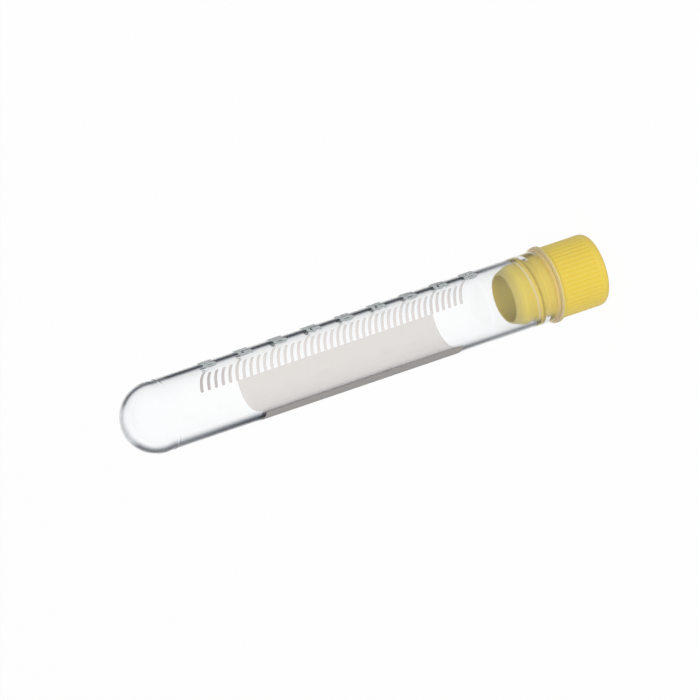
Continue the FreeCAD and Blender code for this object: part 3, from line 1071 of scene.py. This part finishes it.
def add_number(work, text, height, sizes):
    """Adds a number to a mesh, wrapped round the tube beside its long line, cap end up."""
    curve = bpy.data.curves.new("number", "FONT")
    curve.body = text
    curve.size = sizes.number_height / DIGIT_SHARE
    curve.extrude = sizes.number_film / 2
    curve.offset = sizes.number_bold
    curve.align_y = "CENTER"
    letters = bpy.data.objects.new("number", curve)
    flat = bpy.data.meshes.new_from_object(letters)
    bpy.data.objects.remove(letters)
    part = bmesh.new()
    part.from_mesh(flat)
    bmesh.ops.remove_doubles(part, verts=part.verts, dist=0.001 * MM)
    width = max(vertex.co.x for vertex in part.verts)
    strip = 0.2 * MM
    for cut in range(1, int(width / strip) + 1):
        everything = part.verts[:] + part.edges[:] + part.faces[:]
        bmesh.ops.bisect_plane(part, geom=everything, plane_co=(cut * strip, 0, 0), plane_no=(1, 0, 0))
    start = sizes.field_edge - sizes.long_sweep - sizes.number_gap
    for vertex in part.verts:
        angle = start - vertex.co.x / PRINT_RADIUS
        reach = PRINT_RADIUS + sizes.number_film / 2 + vertex.co.z
        vertex.co = (reach * math.cos(angle), reach * math.sin(angle), height - vertex.co.y)
    wrapped = bpy.data.meshes.new("number")
    bmesh.ops.recalc_face_normals(part, faces=part.faces)
    part.to_mesh(wrapped)
    part.free()
    work.from_mesh(wrapped)


# -------- floor, light and camera


class CRYOVIAL_OT_stage(bpy.types.Operator):
    """Adds the floor, the light and the camera"""

    bl_idname = "cryovial.stage"
    bl_label = "Stage"

    def execute(self, context):
        scene = context.scene
        stage = scene.cryovial_stage
        make_floor(scene)
        make_world(scene, stage)
        make_lamp(scene, stage)
        make_camera(scene, stage)
        scene.view_settings.view_transform = "Standard"
        scene.cycles.transparent_max_bounces = 32
        return {"FINISHED"}


def background_seen(shader):
    """1 for what the camera sees directly, mirrored or through glass, and 0 for light on things."""
    return shader.rays("Camera", "Glossy", "Transmission")


def make_floor(scene):
    """A pale floor, white to the eye, that keeps a faint shadow."""
    mesh = bpy.data.meshes.new("floor")
    signs = ((-1, -1), (1, -1), (1, 1), (-1, 1))
    corners = [(across * FLOOR_REACH, back * FLOOR_REACH, 0) for across, back in signs]
    mesh.from_pydata(corners, [], [(0, 1, 2, 3)])
    floor = bpy.data.objects.new("floor", mesh)
    scene.collection.objects.link(floor)
    material, shader = new_material("floor_white")
    paper = shader.node("BsdfDiffuse", values={"Color": (0.88, 0.88, 0.88, 1.0)})
    white = shader.node("Emission", values={"Color": opaque(WHITE), "Strength": 1.0})
    shader.surface(shader.cover(background_seen(shader) * 0.97, paper, white))
    mesh.materials.append(material)


def make_world(scene, stage):
    """A plain sky: white to the eye, and softer as light."""
    world = bpy.data.worlds.new("studio")
    scene.world = world
    shader = Shader(world, "OutputWorld")
    level = stage.world_level + (1 - stage.world_level) * background_seen(shader)
    shader.surface(shader.node("Background", values={"Color": opaque(WHITE), "Strength": level}))


def make_lamp(scene, stage):
    """One large soft lamp in front."""
    place = LAMP_TARGET + LAMP_OFFSET
    data = bpy.data.lights.new("key", "AREA")
    data.shape = "DISK"
    data.size = LAMP_SIZE
    data.energy = stage.key_power
    lamp = bpy.data.objects.new("key", data)
    lamp.location = place
    lamp.visible_glossy = False
    lamp.visible_transmission = False
    lamp.rotation_mode = "QUATERNION"
    lamp.rotation_quaternion = (LAMP_TARGET - place).to_track_quat("-Z", "Y")
    scene.collection.objects.link(lamp)


def make_camera(scene, stage):
    """The camera looks down on the vial and is rolled so that the cap points up to the right."""
    back = Vector((0, -math.cos(stage.tilt), math.sin(stage.tilt)))
    level_right = Vector((1, 0, 0))
    level_up = back.cross(level_right)
    roll = -math.pi / 2 - stage.rise
    right = level_right * math.cos(roll) + level_up * math.sin(roll)
    up = level_up * math.cos(roll) - level_right * math.sin(roll)
    data = bpy.data.cameras.new("camera")
    data.sensor_width = SENSOR_WIDTH
    data.lens = data.sensor_width * stage.distance / stage.view_width
    camera = bpy.data.objects.new("camera", data)
    turn = Matrix((right, up, back)).transposed().to_4x4()
    camera.matrix_world = Matrix.Translation(CAMERA_TARGET + back * stage.distance) @ turn
    scene.collection.objects.link(camera)
    scene.camera = camera


# -------- the add-on


PIECES = (
    CRYOVIAL_OT_cap,
    CRYOVIAL_OT_seal_ring,
    CRYOVIAL_OT_tube,
    CRYOVIAL_OT_writing_field,
    CRYOVIAL_OT_scale_lines,
    CRYOVIAL_OT_scale_numbers,
    CRYOVIAL_OT_stage,
)
SETTINGS = {
    "cryovial_cap": CapSizes,
    "cryovial_thread": ThreadSizes,
    "cryovial_tube": TubeSizes,
    "cryovial_print": PrintSizes,
    "cryovial_colours": VialColours,
    "cryovial_stage": StageSettings,
}


class VIEW3D_PT_cryovial(bpy.types.Panel):
    """Lists the vial's settings and pieces"""

    bl_idname = "VIEW3D_PT_cryovial"
    bl_label = "Cryovial"
    bl_space_type = "VIEW_3D"
    bl_region_type = "UI"
    bl_category = "Cryovial"

    def draw(self, context):
        for name, group in SETTINGS.items():
            box = self.layout.box()
            for size in group.__annotations__:
                box.prop(getattr(context.scene, name), size)
        for piece in PIECES:
            self.layout.operator(piece.bl_idname)


def register():
    """Registers the settings, the operators and the panel."""
    for name, group in SETTINGS.items():
        bpy.utils.register_class(group)
        setattr(bpy.types.Scene, name, PointerProperty(type=group))
    for piece in (*PIECES, VIEW3D_PT_cryovial):
        bpy.utils.register_class(piece)


def unregister():
    """Takes them out again."""
    for piece in (VIEW3D_PT_cryovial, *reversed(PIECES)):
        bpy.utils.unregister_class(piece)
    for name, group in reversed(SETTINGS.items()):
        delattr(bpy.types.Scene, name)
        bpy.utils.unregister_class(group)


def main():
    """Builds every piece and the stage."""
    register()
    for piece in PIECES:
        group, name = piece.bl_idname.split(".")
        getattr(getattr(bpy.ops, group), name)()


if __name__ == "__main__":
    main()
